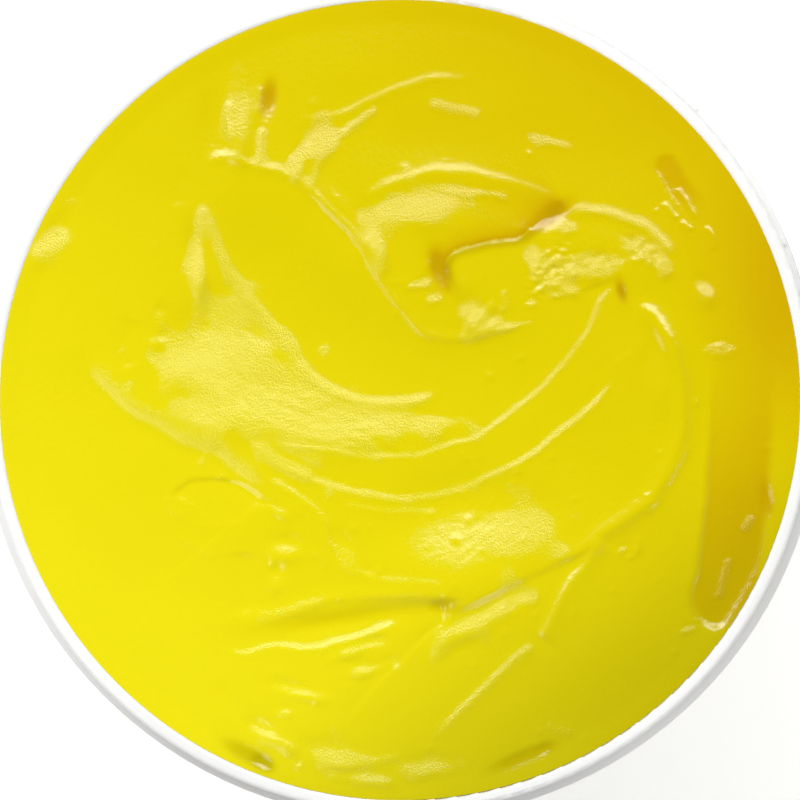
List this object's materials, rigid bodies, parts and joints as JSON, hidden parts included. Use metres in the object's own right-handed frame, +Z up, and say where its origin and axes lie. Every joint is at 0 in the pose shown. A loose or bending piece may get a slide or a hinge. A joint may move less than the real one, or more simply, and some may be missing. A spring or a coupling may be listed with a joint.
{
  "type": "paint jar",
  "caption": "Wide-mouth screw-top paint jar standing open and brim-full of thick stirred paint, its lid lying upside down beside it.",
  "frame": {"origin": "centre of the jar's base ring, on the surface that the jar stands on", "axes": "+Z up along the jar's axis, +X towards the lid that lies beside the jar, +Y to the back, where the label's ends meet"},
  "size_m": [0.2044, 0.094, 0.088],
  "materials": {
    "jar_plastic": "satin moulded white polypropylene",
    "lid_plastic": "moulded white polypropylene",
    "paint": "wet glossy yellow paste",
    "label_film": "printed film",
    "liner_foam": "closed-cell foam sheet"
  },
  "bodies": {
    "jar": {"jar_body": "jar_plastic", "paint_fill": "paint", "jar_label": "label_film"},
    "band": {"neck_band": "lid_plastic"},
    "liner": {"cap_liner": "liner_foam"},
    "cap": {"cap_shell": "lid_plastic", "cap_label": "label_film"}
  },
  "joints": [
    {"name": "band_spin", "type": "hinge", "parent": "jar", "child": "band", "pos_m": [0, 0, 0.072], "axis": [0, 0, 1], "continuous": true},
    {"name": "lid_lift", "type": "slide", "parent": "jar", "child": "liner", "axis": [0, 0, 1], "range_m": [0, 0.12]},
    {"name": "lid_turn", "type": "hinge", "parent": "liner", "child": "cap", "pos_m": [0.111, 0, 0.002], "axis": [0, 0, 1], "continuous": true}
  ]
}
